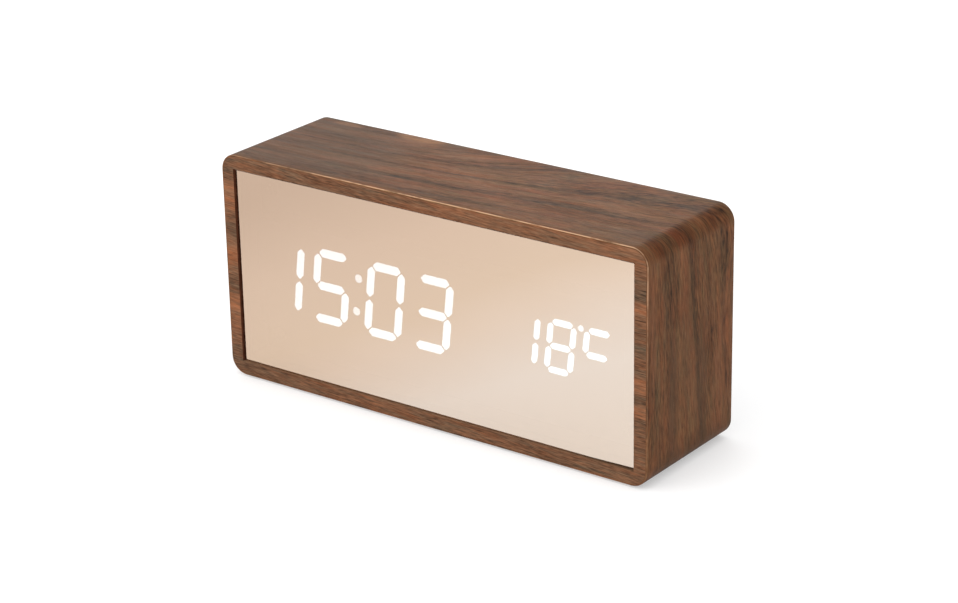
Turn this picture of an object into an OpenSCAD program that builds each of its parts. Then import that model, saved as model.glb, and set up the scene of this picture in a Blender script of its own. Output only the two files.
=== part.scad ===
// Digital alarm clock: a veneered wooden box with a tinted mirror front, a seven-segment
// display behind the mirror, and a plastic rear cover that carries the circuit board,
// the push buttons and the battery compartment.
// Millimetres. +X is the viewer's right, +Y runs from the front to the back, +Z is up.
// The origin is on the table top, under the middle of the case.

/* [Case] */
// Width of the case
case_w = 150; // [140:1:200]
// Height of the case
case_h = 70; // [64:1:100]
// Depth of the case
case_d = 44; // [40:1:70]
// Outer radius of the four long edges
corner_r = 5.2; // [2:0.1:8]
// Width of the wooden frame round the front panel
frame_w = 4.4; // [3.5:0.1:6]
// Thickness of the wood veneer
veneer_t = 0.5; // [0.3:0.1:1]
// Width of the inner ledge that the panel and the rear cover sit on
ledge_w = 2; // [1.5:0.1:3]
// Side of the square glue blocks in the corners
block_w = 10; // [8:0.5:11]
// Radius of the round feet
foot_r = 4; // [2:0.5:6]
// Thickness of the feet
foot_h = 0.6; // [0.4:0.1:3]
// Distance from the edges of the case's flat underside to a foot
foot_margin = 4; // [1:0.5:6]

/* [Front panel] */
// Thickness of the mirror panel
panel_t = 1.5; // [1:0.1:3]
// Depth of the panel's face behind the frame's face
panel_recess = 0.8; // [0.4:0.1:2]
// Play round the panel in its opening
panel_gap = 0.2; // [0.1:0.05:0.5]
// Thickness of the tape that holds the panel to its ledge
tape_t = 0.4; // [0.2:0.1:0.8]

/* [Display] */
// Width of a clock digit, between the middles of its uprights
digit_w = 10.95; // [9:0.05:12]
// Height of a clock digit, between the middles of its top and bottom bars
digit_h = 20.75; // [16:0.05:26]
// Thickness of a clock segment
seg_t = 2.7; // [1.5:0.1:3.2]
// Distance between the digits of one pair
digit_pitch = 17.4; // [16:0.1:19]
// Distance between the hour's last digit and the minute's first
colon_pitch = 19.9; // [18:0.1:22]
// Radius of a colon dot
colon_r = 1.3; // [0.8:0.1:1.6]
// Height of a colon dot above or below the middle
colon_rise = 5.2; // [3:0.1:7]
// Distance from the case's left side to the middle of the first digit
clock_margin = 20.7; // [18:0.1:24]
// Width of a temperature digit, between the middles of its uprights
small_w = 7.74; // [6:0.02:8.5]
// Height of a temperature digit, between the middles of its top and bottom bars
small_h = 14.54; // [12:0.02:20]
// Thickness of a temperature segment
small_t = 2; // [1.2:0.1:2.4]
// Distance between the temperature digits
small_pitch = 12.1; // [11.5:0.1:13.5]
// Radius of the degree dot
degree_r = 0.95; // [0.5:0.05:1.1]
// Distance from the case's right side to the middle of the last digit
temp_margin = 18.2; // [16:0.1:22]
// Gap at each end of a segment
seg_gap = 0.5; // [0.3:0.02:0.6]
// Half of the blunt end of a segment
seg_tip = 0.22; // [0.1:0.02:0.4]
// Lean of the digits, in degrees
lean = 6.5; // [0:0.5:10]
// How far the display's middle lies under the case's middle
display_drop = 0.6; // [0:0.1:2]
// Depth of the segment housing
housing_t = 7; // [5:0.5:9]
// Margin of the housing round the digits
housing_rim = 5; // [4:0.5:6]
// Corner radius of the housing
housing_r = 2; // [0.5:0.5:4]
// Thickness of the diffuser in each segment window
diffuser_t = 2; // [1:0.1:4]
// Gap between the housing and the mirror panel
display_gap = 0.2; // [0.1:0.1:0.6]
// Thickness of the circuit boards
board_t = 1.6; // [1:0.1:2]

/* [Rear cover] */
// Thickness of the cover plate
cover_t = 2.6; // [2.4:0.1:4]
// Depth of the cover's face behind the back of the case
cover_recess = 0.8; // [0.6:0.1:2]
// Play round the cover in its opening
cover_gap = 0.25; // [0.1:0.05:0.5]
// Radius of the screw shanks
screw_r = 1.1; // [0.8:0.05:1.3]
// Length of the screw shanks
screw_l = 7; // [5:0.5:10]
// Radius of the screw heads
head_r = 2.2; // [1.8:0.1:2.6]
// Height of the screw heads
head_h = 1.4; // [1:0.1:1.6]
// Distance between the middles of the sound holes
sound_pitch = 2.6; // [2:0.1:3]
// Radius of a sound hole
sound_r = 0.7; // [0.4:0.05:0.9]
// Number of vent slots
vent_count = 6; // [3:1:8]
// Width of a vent slot
vent_w = 1; // [0.6:0.1:1.3]
// Length of a vent slot
vent_l = 4.5; // [3:0.5:5]
// Distance between vent slots
vent_pitch = 2.2; // [1.8:0.1:2.6]

/* [Buttons] */
// Radius of a button cap
button_r = 3.3; // [2.5:0.1:3.8]
// Height of a button cap above the cover
button_rise = 0.5; // [0.3:0.1:0.7]
// Radius of the flange that keeps a button in
flange_r = 4.3; // [4:0.1:5]
// Thickness of that flange
flange_t = 1; // [0.6:0.1:1.4]
// Length of the stem under the flange
stem_l = 2; // [1:0.1:4]
// Radius of the stem
stem_r = 1.5; // [1:0.1:2]
// Play round a button cap
button_gap = 0.2; // [0.1:0.05:0.4]
// Distance between buttons
button_pitch = 12; // [11:0.5:13]
// How far a button travels
button_travel = 0.5; // [0.2:0.05:0.8]
// Side of a tact switch
switch_w = 6; // [4:0.5:7]
// Height of a tact switch's body
switch_h = 3.6; // [2.5:0.1:5]
// Radius of a switch plunger
plunger_r = 1.7; // [1:0.1:2]
// Height of a plunger above its switch at rest
plunger_h = 1.2; // [1:0.1:1.6]
// Length of a plunger inside its switch
plunger_in = 1; // [0.6:0.1:1.4]

/* [Battery compartment] */
// Diameter of a cell
cell_d = 10.5; // [9:0.1:10.5]
// Length of a cell with its terminal
cell_l = 44.5; // [40:0.5:46]
// Radius of a cell's raised terminal
nub_r = 1.9; // [1.5:0.1:2.5]
// Height of that terminal
nub_h = 0.8; // [0.5:0.1:1.2]
// Distance between the middles of the cells
cell_pitch = 11.2; // [10.8:0.1:11.4]
// Length of a contact spring as fitted
spring_l = 4.6; // [4:0.1:6]
// Coil radius of a spring at its plate
spring_r = 3; // [2.4:0.1:3.6]
// Coil radius of a spring at its cell
spring_end_r = 2; // [1.5:0.1:2.4]
// Thickness of the spring wire
spring_wire = 0.5; // [0.4:0.05:0.6]
// Turns of a spring
spring_turns = 3; // [2:0.5:3]
// Thickness of the contact plates
contact_t = 0.4; // [0.2:0.05:0.6]
// Width of a contact plate
contact_w = 8; // [5:0.5:9]
// Wall of the battery tray
tray_wall = 1.5; // [1.2:0.1:2]
// Play between a cell and the tray or the door
cell_play = 0.25; // [0.1:0.05:0.5]
// Distance from the case's middle to the middle of the tray
tray_offset = 30; // [29.5:0.5:32]
// Thickness of the battery door
door_t = 2.2; // [2:0.1:2.4]
// How far the door laps the tray's walls
door_lap = 0.9; // [0.5:0.1:1.1]
// Play round the door
door_gap = 0.25; // [0.15:0.05:0.4]
// Play behind the door
seat_gap = 0.15; // [0.1:0.05:0.2]
// Radius of the door's hinge pins
pin_r = 0.7; // [0.5:0.05:0.75]
// Length of the door's hinge pins
pin_l = 1.6; // [1:0.1:2.5]
// Play round the hinge pins
pin_play = 0.06; // [0.03:0.01:0.1]
// Width of the latch tongue
latch_w = 9; // [6:0.5:14]
// Height of the latch tongue
latch_h = 1.4; // [1:0.1:2]
// Thickness of the latch tongue
latch_t = 1; // [0.6:0.1:1.4]

/* [Main board] */
// Width of the main board
main_w = 50; // [48:0.5:52]
// Height of the main board
main_h = 36; // [35:0.5:37]
// Distance from the case's middle to the middle of the main board
main_offset = 30; // [29:0.5:31]
// Distance from the board's edges to its screws
main_inset = 3.5; // [3:0.1:4.5]
// Outer radius of the screw bosses
boss_r = 2.4; // [2:0.1:2.8]
// Length of the screws in the bosses
boss_screw_l = 5; // [3:0.5:7]
// Radius of the buzzer
buzzer_r = 6; // [4:0.5:6.5]
// Height of the buzzer
buzzer_h = 7; // [5:0.5:7.5]
// Radius of the microphone
mic_r = 3; // [2:0.5:3.5]
// Height of the microphone
mic_h = 5; // [3:0.5:7]
// Inner width of the power socket
usb_w = 6.9; // [6:0.1:9]
// Inner height of the power socket
usb_h = 1.85; // [1.5:0.05:3.2]
// Wall of the power socket's shell
usb_wall = 0.35; // [0.2:0.05:0.5]
// Depth of the socket's mouth behind the cover's face
usb_inset = 0.6; // [0.3:0.1:1.5]
// Width of the ribbon cable
ribbon_w = 12; // [8:0.5:14]
// Thickness of the ribbon cable
ribbon_t = 0.8; // [0.5:0.1:1.2]
// Height of the ribbon's headers
header_h = 5; // [3:0.5:6]
// Diameter of the battery leads
lead_d = 1.4; // [1:0.1:2]

/* [Hidden] */
$fn = 64;
eps = 0.5;
mid_z = foot_h + case_h / 2;

// Planes along the depth, from the front to the back
front_y = -case_d / 2;
back_y = case_d / 2;
core_y0 = front_y + veneer_t;
core_y1 = back_y - veneer_t;
panel_y0 = front_y + panel_recess;
panel_y1 = panel_y0 + panel_t;
ledge_y = panel_y1 + tape_t;
housing_y0 = panel_y1 + display_gap;
led_board_y0 = housing_y0 + housing_t;
led_board_y1 = led_board_y0 + board_t;
cover_y1 = back_y - cover_recess;
cover_y0 = cover_y1 - cover_t;
flange_y1 = cover_y0 - button_gap;
flange_y0 = flange_y1 - flange_t;
plunger_y = flange_y0 - stem_l;
switch_y = plunger_y - plunger_h;
main_y1 = switch_y - switch_h;
main_y0 = main_y1 - board_t;
door_y0 = cover_y1 - door_t;
seat_y = door_y0 - seat_gap;
cell_y = door_y0 - cell_play - cell_d / 2;
floor_y = cell_y - cell_d / 2 - cell_play;
tray_y0 = floor_y - tray_wall;

// Widths and heights of the case's layers
core_w = case_w - 2 * veneer_t;
core_h = case_h - 2 * veneer_t;
core_r = corner_r - veneer_t;
open_w = case_w - 2 * frame_w;
open_h = case_h - 2 * frame_w;
cavity_w = open_w - 2 * ledge_w;
cavity_h = open_h - 2 * ledge_w;
block_x = (cavity_w - block_w) / 2;
block_z = (cavity_h - block_w) / 2;
foot_x = case_w / 2 - corner_r - foot_margin - foot_r;
foot_y = case_d / 2 - foot_margin - foot_r;
// The tape stays under the panel, which stands on the lower side of its opening
tape_inset = 0.1;
tape_edge = 2 * panel_gap + tape_inset;
head_edge = 0.5;
cross_w = 0.7;
cross_l = 2.6;
cross_d = 0.8;
screw_play = 0.1;
head_play = 0.2;

// Display: each digit has its place, width, height, thickness and the segments that are lit.
// Segments run a, b, c, d, e, f, g: top, right pair, bottom, left pair, middle.
display_z = mid_z - display_drop;
clock_x = -case_w / 2 + clock_margin;
temp_x = case_w / 2 - temp_margin;
CLOCK_LIT = [[1, 2], [0, 2, 3, 5, 6], [0, 1, 2, 3, 4, 5], [0, 1, 2, 3, 6]];
TEMP_LIT = [[1, 2], [0, 1, 2, 3, 4, 5, 6], [0, 5, 6]];
CLOCK_X = [clock_x, clock_x + digit_pitch, clock_x + digit_pitch + colon_pitch,
    clock_x + 2 * digit_pitch + colon_pitch];
DIGITS = concat(
    [for (i = [0:3]) [CLOCK_X[i], digit_w, digit_h, seg_t, CLOCK_LIT[i]]],
    [for (i = [0:2]) [temp_x - (2 - i) * small_pitch, small_w, small_h, small_t, TEMP_LIT[i]]]);
colon_x = (CLOCK_X[1] + CLOCK_X[2]) / 2;
degree_x = temp_x - small_pitch / 2;
DOTS = [[colon_x, colon_rise, colon_r], [colon_x, -colon_rise, colon_r],
    [degree_x, small_h / 2, degree_r]];
// Each segment's middle as a share of the digit's width and height, and whether it is upright
SEGMENTS = [[0, 1 / 2, false], [1 / 2, 1 / 4, true], [1 / 2, -1 / 4, true], [0, -1 / 2, false],
    [-1 / 2, -1 / 4, true], [-1 / 2, 1 / 4, true], [0, 0, false]];
housing_x0 = clock_x - digit_w / 2 - housing_rim;
housing_x1 = temp_x + small_w / 2 + housing_rim;
housing_h = digit_h + seg_t + 2 * housing_rim;
led_w = 2;
led_h = 1.2;
led_t = 0.8;
led_board_gap = 0.3;

// Battery tray, its cells and its door
cell_count = 3;
tray_x = -tray_offset;
pocket_w = cell_l + spring_l + 2 * contact_t;
pocket_h = (cell_count - 1) * cell_pitch + cell_d + 2 * cell_play;
tray_z = mid_z;
door_w = pocket_w + 2 * door_lap;
door_h = pocket_h + 2 * door_lap;
hinge_y = cover_y1 - door_t / 2;
hinge_z = tray_z - door_h / 2 + door_t / 2;
door_top = tray_z + door_h / 2;
rib_count = 3;
rib_t = 0.3;
rib_w = 0.8;
rib_l = 14;
rib_pitch = 2;
scoop_r = 7;
scoop_d = 1;
divider_w = 0.8;
divider_l = 22;
divider_h = 2.5;
tab_w = 2.5;
tab_out = 2;
tab_play = 0.1;

// Main board and what stands on it
main_x = main_offset;
// Places across and up from the board's middle
button_row_at = [0, 8];
vents_at = [0, 15.5];
buzzer_at = [12, -8];
mic_at = [-1, -11];
usb_at = [-13, -9];
chip_at = [0, 4];
crystal_at = [13, 3];
cap_at = [-15, 0];
driver_at = [0, 8];
main_header_at = [0, -10];
led_header_at = [-14, -10];
BUTTONS = [for (i = [-1:1]) button_row_at + [i * button_pitch, 0]];
BOSSES = [for (sx = [-1, 1], sz = [-1, 1])
    [sx * (main_w / 2 - main_inset), sz * (main_h / 2 - main_inset)]];
buzzer_hole_r = 1;
mic_hole_r = 0.8;
usb_chamfer = 0.8;
usb_play = 0.4;
usb_base = 3;
tongue_w = 3.6;
tongue_t = 0.6;
bead_r = 1.2;
bead_rise = 4;
wire_r = 0.25;
wire_pitch = 1.5;
chip_w = 7;
chip_t = 1.4;
driver_w = 10;
driver_h = 5.5;
leg_pitch = 1.2;
leg_w = 0.45;
leg_l = 1;
leg_t = 0.3;
crystal_w = 10.8;
crystal_h = 4.4;
crystal_t = 3.5;
crystal_r = 2.1;
cap_r = 3.15;
cap_h = 7;
header_w = 5;
header_wall = 1.5;
RIBBON_STEPS = 24;

// Battery leads: from a solder tab at the tray's back to a pad on the board's front
lead_sag = 7;
LEAD_STEPS = 24;
LEAD_SIDES = 8;
pad_inset = 2;
pad_x = main_x - main_w / 2 + pad_inset;
plus_z = tray_z + cell_pitch;
minus_z = tray_z - cell_pitch;

// Springs: a cone of wire whose ends run straight along the cell
SPRING_RINGS = 8;
SPRING_SIDES = 6;
// A direction that the wire never runs along
SPRING_SIDE = [0.1, 0.1, 1];

// Outlines in the X-Z plane, and how they stand along Y

// Extrudes an outline from one depth to another
module slab(y0, y1) {
    translate([0, y1, 0]) rotate([90, 0, 0]) linear_extrude(y1 - y0) children();
}

// A round bar along the depth
module rod(r, y0, y1) {
    translate([0, y0, 0]) rotate([-90, 0, 0]) cylinder(r = r, h = y1 - y0);
}

module at(x, z) {
    translate([x, 0, z]) children();
}

module at_mid() {
    at(0, mid_z) children();
}

// A place across and up from the main board's middle
module on_board(p) {
    at(main_x + p.x, mid_z + p.y) children();
}

module at_blocks() {
    for (sx = [-1, 1], sz = [-1, 1]) at(sx * block_x, mid_z + sz * block_z) children();
}

module rounded_rect(w, h, r) {
    square([w - 2 * r, h], center = true);
    square([w, h - 2 * r], center = true);
    for (sx = [-1, 1], sz = [-1, 1]) translate([sx * (w / 2 - r), sz * (h / 2 - r)]) circle(r);
}

// Screws along +Y, with the underside of the head at the origin
module screw(shank_l) {
    difference() {
        union() {
            rotate([90, 0, 0]) rotate_extrude() {
                square([head_r, head_h - head_edge]);
                square([head_r - head_edge, head_h]);
                intersection() {
                    translate([head_r - head_edge, head_h - head_edge]) circle(head_edge);
                    square([head_r, head_h]);
                }
            }
            rod(screw_r, -head_h / 2, shank_l);
        }
        for (turn = [0, 90]) rotate([0, turn, 0])
            translate([-cross_l / 2, -head_h - eps, -cross_w / 2]) cube([cross_l, cross_d + eps, cross_w]);
    }
}

module screw_hole(y0, y1) {
    rod(screw_r + screw_play, y0, y1);
}

// A tube of n sides swept along points, closed at both ends
function unit(v) = v / norm(v);
function heading(p, i) = unit(p[min(i + 1, len(p) - 1)] - p[max(i - 1, 0)]);
function ring(p, i, r, n, side) =
    let (t = heading(p, i), a = unit(cross(t, side)), b = cross(t, a))
    [for (k = [0:n - 1]) p[i] + r * (cos(360 * k / n) * a + sin(360 * k / n) * b)];
module tube(p, d, n, side) {
    last = len(p) - 1;
    points = [for (i = [0:last]) each ring(p, i, d / 2, n, side)];
    sides = [for (i = [0:last - 1], k = [0:n - 1])
        let (a = i * n + k, b = i * n + (k + 1) % n) each [[a, b, b + n], [a, b + n, a + n]]];
    start = [for (k = [1:n - 2]) [0, k + 1, k]];
    end = [for (k = [1:n - 2]) [last * n, last * n + k, last * n + k + 1]];
    polyhedron(points, concat(sides, start, end));
}

// Case

module core_tube() {
    at_mid() difference() {
        slab(core_y0, core_y1) rounded_rect(core_w, core_h, core_r);
        slab(core_y0 - eps, ledge_y) square([open_w, open_h], center = true);
        slab(core_y0, core_y1) square([cavity_w, cavity_h], center = true);
        slab(cover_y0, core_y1 + eps) square([open_w, open_h], center = true);
    }
}

// One of the four mitred boards, cut from the tube by its wedge
module mitred_board(wedge) {
    color("burlywood") intersection() {
        core_tube();
        at_mid() slab(core_y0, core_y1) polygon(wedge);
    }
}

function long_wedge(s) = [[-case_w / 2, s * case_h / 2], [case_w / 2, s * case_h / 2],
    [(case_w - case_h) / 2, 0], [(case_h - case_w) / 2, 0]];
function end_wedge(s) = [[s * case_w / 2, case_h / 2], [s * case_w / 2, -case_h / 2],
    [s * (case_w - case_h) / 2, 0]];

module top_board() {
    mitred_board(long_wedge(1));
}

module bottom_board() {
    mitred_board(long_wedge(-1));
}

module left_board() {
    mitred_board(end_wedge(-1));
}

module right_board() {
    mitred_board(end_wedge(1));
}

module corner_blocks() {
    color("tan") at_blocks() difference() {
        translate([-block_w / 2, led_board_y1, -block_w / 2])
            cube([block_w, cover_y0 - led_board_y1, block_w]);
        screw_hole(led_board_y1 - eps, led_board_y0 + screw_l + screw_play);
        screw_hole(cover_y1 - head_h - screw_l - screw_play, cover_y0 + eps);
    }
}

module veneer_wrap() {
    color("saddlebrown") at_mid() slab(front_y, back_y) difference() {
        rounded_rect(case_w, case_h, corner_r);
        rounded_rect(core_w, core_h, core_r);
    }
}

module veneer_frame(y0) {
    color("sienna") at_mid() slab(y0, y0 + veneer_t) difference() {
        rounded_rect(core_w, core_h, core_r);
        square([open_w, open_h], center = true);
    }
}

module front_veneer() {
    veneer_frame(front_y);
}

module rear_veneer() {
    veneer_frame(core_y1);
}

module rubber_feet() {
    color("dimgray") for (sx = [-1, 1], sy = [-1, 1])
        translate([sx * foot_x, sy * foot_y, 0]) cylinder(r = foot_r, h = foot_h);
}

// Front panel

module mirror_panel() {
    color("rosybrown", 0.5) at(0, mid_z - panel_gap) slab(panel_y0, panel_y1)
        square([open_w - 2 * panel_gap, open_h - 2 * panel_gap], center = true);
}

module panel_tape() {
    color("black") at_mid() slab(panel_y1, ledge_y) difference() {
        square([open_w - 2 * tape_edge, open_h - 2 * tape_edge], center = true);
        square([cavity_w, cavity_h], center = true);
    }
}

// Display

// A bar of length l along x with pointed, slightly blunt ends
function bar(l, t) = let (s = t / 2 - seg_tip) [
    [-l / 2, -seg_tip], [-l / 2 + s, -t / 2], [l / 2 - s, -t / 2], [l / 2, -seg_tip],
    [l / 2, seg_tip], [l / 2 - s, t / 2], [-l / 2 + s, t / 2], [-l / 2, seg_tip]];
function leaned(p) = [p.x + p.y * tan(lean), p.y];
// Outline of segment k of digit d, about the digit's middle
function segment(d, k) =
    let (s = SEGMENTS[k], l = (s[2] ? d[2] / 2 : d[1]) - 2 * seg_gap, m = [s[0] * d[1], s[1] * d[2]])
    [for (p = bar(l, d[3])) leaned(m + (s[2] ? [p.y, p.x] : p))];
function segment_mid(d, k) = leaned([SEGMENTS[k][0] * d[1], SEGMENTS[k][1] * d[2]]);
function is_lit(d, k) = len(search(k, d[4])) > 0;

module segment_outlines(lit, unlit) {
    for (d = DIGITS, k = [0:6]) if (is_lit(d, k) ? lit : unlit)
        translate([d[0], 0]) polygon(segment(d, k));
    if (lit) for (dot = DOTS) translate(leaned([0, dot[1]]) + [dot[0], 0]) circle(dot[2]);
}

module segment_housing() {
    color("#202020") at(0, display_z) slab(housing_y0, led_board_y0) difference() {
        translate([(housing_x0 + housing_x1) / 2, 0])
            rounded_rect(housing_x1 - housing_x0, housing_h, housing_r);
        segment_outlines(true, true);
    }
}

module lit_segments() {
    color("white") at(0, display_z) slab(housing_y0, housing_y0 + diffuser_t) segment_outlines(true, false);
}

module unlit_segments() {
    color("gray") at(0, display_z) slab(housing_y0, housing_y0 + diffuser_t) segment_outlines(false, true);
}

module led_chip(x, z, upright) {
    at(x, z) rotate([0, upright ? 90 : 0, 0])
        translate([-led_w / 2, led_board_y0 - led_t, -led_h / 2]) cube([led_w, led_t, led_h]);
}

module led_chips() {
    color("lightyellow") at(0, display_z) {
        for (d = DIGITS, k = [0:6]) let (m = segment_mid(d, k)) led_chip(d[0] + m.x, m.y, SEGMENTS[k][2]);
        for (dot = DOTS) let (m = leaned([0, dot[1]])) at(dot[0] + m.x, m.y)
            rod(min(led_h, dot[2]) / 2, led_board_y0 - led_t, led_board_y0);
    }
}

module display_board() {
    color("darkgreen") difference() {
        at_mid() slab(led_board_y0, led_board_y1)
            square([cavity_w - 2 * led_board_gap, cavity_h - 2 * led_board_gap], center = true);
        at_blocks() screw_hole(led_board_y0 - eps, led_board_y1 + eps);
    }
}

module display_screws() {
    color("silver") at_blocks() translate([0, led_board_y0, 0]) screw(screw_l);
}

// A chip lying against y = 0 with its body on the +Y side and legs along two edges
module chip(w, h, t) {
    legs = floor((w - leg_w) / leg_pitch);
    translate([-w / 2, 0, -h / 2]) cube([w, t, h]);
    for (i = [0:legs], s = [-1, 1])
        translate([(i - legs / 2) * leg_pitch - leg_w / 2, 0, s > 0 ? h / 2 - leg_w : -h / 2 - leg_l])
            cube([leg_w, leg_t, leg_l + leg_w]);
}

module display_driver() {
    color("#181818") on_board(driver_at) translate([0, led_board_y1, 0]) chip(driver_w, driver_h, chip_t);
}

// Ribbon cable between the two boards, and the header at each end

module header(p, y0, y1) {
    on_board(p) slab(y0, y1)
        square([header_w, ribbon_w + 2 * header_wall], center = true);
}

module display_header() {
    color("ivory") header(led_header_at, led_board_y1, led_board_y1 + header_h);
}

module main_header() {
    color("ivory") header(main_header_at, main_y0 - header_h, main_y0);
}

ribbon_from = [led_header_at.x, led_board_y1 + header_h];
ribbon_to = [main_header_at.x, main_y0 - header_h];
// Middle of the ribbon at share u of its way, square to both headers
function ribbon_mid(u) = [ribbon_from.x + (ribbon_to.x - ribbon_from.x) * u * u * (3 - 2 * u),
    ribbon_from.y + (ribbon_to.y - ribbon_from.y) * u];
function ribbon_slope(u) =
    unit([(ribbon_to.x - ribbon_from.x) * 6 * u * (1 - u), ribbon_to.y - ribbon_from.y]);
function ribbon_edge(s) = [for (i = [0:RIBBON_STEPS])
    let (u = i / RIBBON_STEPS, t = ribbon_slope(u)) ribbon_mid(u) + s * ribbon_t / 2 * [t.y, -t.x]];

module ribbon_cable() {
    edge = ribbon_edge(-1);
    color("lightgray") on_board([0, main_header_at.y - ribbon_w / 2]) linear_extrude(ribbon_w)
        polygon(concat(ribbon_edge(1), [for (i = [RIBBON_STEPS:-1:0]) edge[i]]));
}

// Rear cover

module tray_block(w, h, y0, y1) {
    at(tray_x, tray_z) slab(y0, y1) square([w, h], center = true);
}

module door_recess() {
    tray_block(door_w + 2 * door_gap, door_h + 2 * door_gap, seat_y, cover_y1 + eps);
    translate([tray_x - latch_w / 2 - door_gap, seat_y, door_top])
        cube([latch_w + 2 * door_gap, cover_t + eps, latch_h + door_gap]);
    translate([tray_x - door_w / 2 - pin_l - door_gap, hinge_y, hinge_z]) rotate([0, 90, 0])
        cylinder(r = pin_r + pin_play, h = door_w + 2 * (pin_l + door_gap));
}

// Slots for the solder tabs of the two free contacts
module tab_slot(x, z) {
    translate([x - contact_t / 2 - tab_play, tray_y0 - eps, z - tab_w / 2 - tab_play])
        cube([contact_t + 2 * tab_play, tray_wall + 2 * eps, tab_w + 2 * tab_play]);
}

// A round hole through the cover plate
module cover_hole(r) {
    rod(r, cover_y0 - eps, cover_y1 + eps);
}

// The hexagonal patch of sound holes over the buzzer
module sound_holes() {
    cover_hole(sound_r);
    for (turn = [0:60:300]) at(sound_pitch * cos(turn), sound_pitch * sin(turn)) cover_hole(sound_r);
}

// The power socket's outline, grown by a wall or a play: its two lower corners are cut off
function usb_outline(grow) =
    let (w = usb_w / 2 + grow, h = usb_h / 2 + grow, c = usb_chamfer + grow * (2 - sqrt(2)))
    [[-w, h], [w, h], [w, c - h], [w - c, -h], [c - w, -h], [-w, c - h]];

module cover_holes() {
    at_blocks() {
        cover_hole(screw_r + screw_play);
        rod(head_r + head_play, cover_y1 - head_h, cover_y1 + eps);
    }
    for (p = BUTTONS) on_board(p) cover_hole(button_r + button_gap);
    for (p = BOSSES) on_board(p)
        screw_hole(main_y1 - eps, main_y0 + boss_screw_l + screw_play);
    on_board(buzzer_at) sound_holes();
    on_board(mic_at) cover_hole(mic_hole_r);
    on_board(usb_at) slab(cover_y0 - eps, cover_y1 + eps) polygon(usb_outline(usb_wall + usb_play));
    for (i = [0:vent_count - 1]) on_board(vents_at + [(i - (vent_count - 1) / 2) * vent_pitch, 0])
        slab(cover_y0 - eps, cover_y1 + eps) square([vent_w, vent_l], center = true);
}

module rear_cover() {
    color("#1c1c1c") difference() {
        union() {
            at_mid() slab(cover_y0, cover_y1)
                square([open_w - 2 * cover_gap, open_h - 2 * cover_gap], center = true);
            tray_block(pocket_w + 2 * tray_wall, pocket_h + 2 * tray_wall, tray_y0, cover_y1);
            for (p = BOSSES) on_board(p) rod(boss_r, main_y1, cover_y0 + eps);
        }
        difference() {
            tray_block(pocket_w, pocket_h, floor_y, cover_y1 + eps);
            for (i = [1:cell_count - 1]) at(tray_x, (cell_z(i - 1) + cell_z(i)) / 2)
                slab(floor_y - eps, floor_y + divider_h) square([divider_l, divider_w], center = true);
        }
        door_recess();
        tab_slot(plus_x, plus_z);
        tab_slot(minus_x, minus_z);
        cover_holes();
    }
}

module cover_screws() {
    color("silver") at_blocks() translate([0, cover_y1 - head_h, 0]) rotate([0, 0, 180])
        screw(screw_l);
}

// Main board and its components

module main_board() {
    color("darkgreen") difference() {
        at(main_x, mid_z) slab(main_y0, main_y1) square([main_w, main_h], center = true);
        for (p = BOSSES) on_board(p) screw_hole(main_y0 - eps, main_y1 + eps);
    }
}

module board_screws() {
    color("silver") for (p = BOSSES) on_board(p) translate([0, main_y0, 0]) screw(boss_screw_l);
}

module controller_chip() {
    color("#181818") on_board(chip_at) translate([0, main_y0, 0]) rotate([0, 0, 180])
        chip(chip_w, chip_w, chip_t);
}

module crystal_can() {
    color("silver") on_board(crystal_at) slab(main_y0 - crystal_t, main_y0)
        rounded_rect(crystal_w, crystal_h, crystal_r);
}

module capacitor() {
    color("midnightblue") on_board(cap_at) rod(cap_r, main_y0 - cap_h, main_y0);
}

module buzzer() {
    color("#202020") on_board(buzzer_at) difference() {
        rod(buzzer_r, main_y1, main_y1 + buzzer_h);
        rod(buzzer_hole_r, main_y1 + buzzer_h / 2, main_y1 + buzzer_h + eps);
    }
}

module microphone() {
    color("silver") on_board(mic_at) rod(mic_r, main_y1, main_y1 + mic_h);
}

module temperature_sensor() {
    color("black") on_board(vents_at) {
        translate([0, main_y1 + bead_rise, 0]) sphere(bead_r);
        for (s = [-1, 1]) at(s * wire_pitch / 2, 0) rod(wire_r, main_y1, main_y1 + bead_rise);
    }
}

module usb_shell() {
    color("silver") on_board(usb_at) slab(main_y1, cover_y1 - usb_inset) difference() {
        polygon(usb_outline(usb_wall));
        polygon(usb_outline(0));
    }
}

module usb_tongue() {
    color("black") on_board(usb_at) {
        slab(main_y1, main_y1 + usb_base) polygon(usb_outline(0));
        slab(main_y1, cover_y1 - 2 * usb_inset) square([tongue_w, tongue_t], center = true);
    }
}

module switch_bodies() {
    color("#303030") for (p = BUTTONS) on_board(p) difference() {
        translate([-switch_w / 2, main_y1, -switch_w / 2]) cube([switch_w, switch_h, switch_w]);
        rod(plunger_r + button_gap / 2, switch_y - plunger_in - button_travel - button_gap, switch_y + eps);
    }
}

// Buttons: each cap has a flange behind the cover and a stem that meets its switch's plunger

module button(i) {
    color("#2a2a2a") on_board(BUTTONS[i]) {
        rod(button_r, flange_y0, cover_y1 + button_rise);
        rod(flange_r, flange_y0, flange_y1);
        rod(stem_r, plunger_y, flange_y0 + flange_t / 2);
    }
}

module plunger(i) {
    color("ivory") on_board(BUTTONS[i]) rod(plunger_r, switch_y - plunger_in, plunger_y);
}

module set_button() {
    button(0);
}

module up_button() {
    button(1);
}

module down_button() {
    button(2);
}

module set_plunger() {
    plunger(0);
}

module up_plunger() {
    plunger(1);
}

module down_plunger() {
    plunger(2);
}

// Battery compartment

plus_x = tray_x + pocket_w / 2 - contact_t / 2;
minus_x = tray_x - pocket_w / 2 + contact_t / 2;
// Cells lie side by side, each the other way round from the next: 1 has its terminal on the right
function cell_way(i) = i % 2 == 0 ? 1 : -1;
function cell_z(i) = tray_z + (i - (cell_count - 1) / 2) * cell_pitch;
function plate_x(s) = tray_x + s * (pocket_w / 2 - contact_t);

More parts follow.
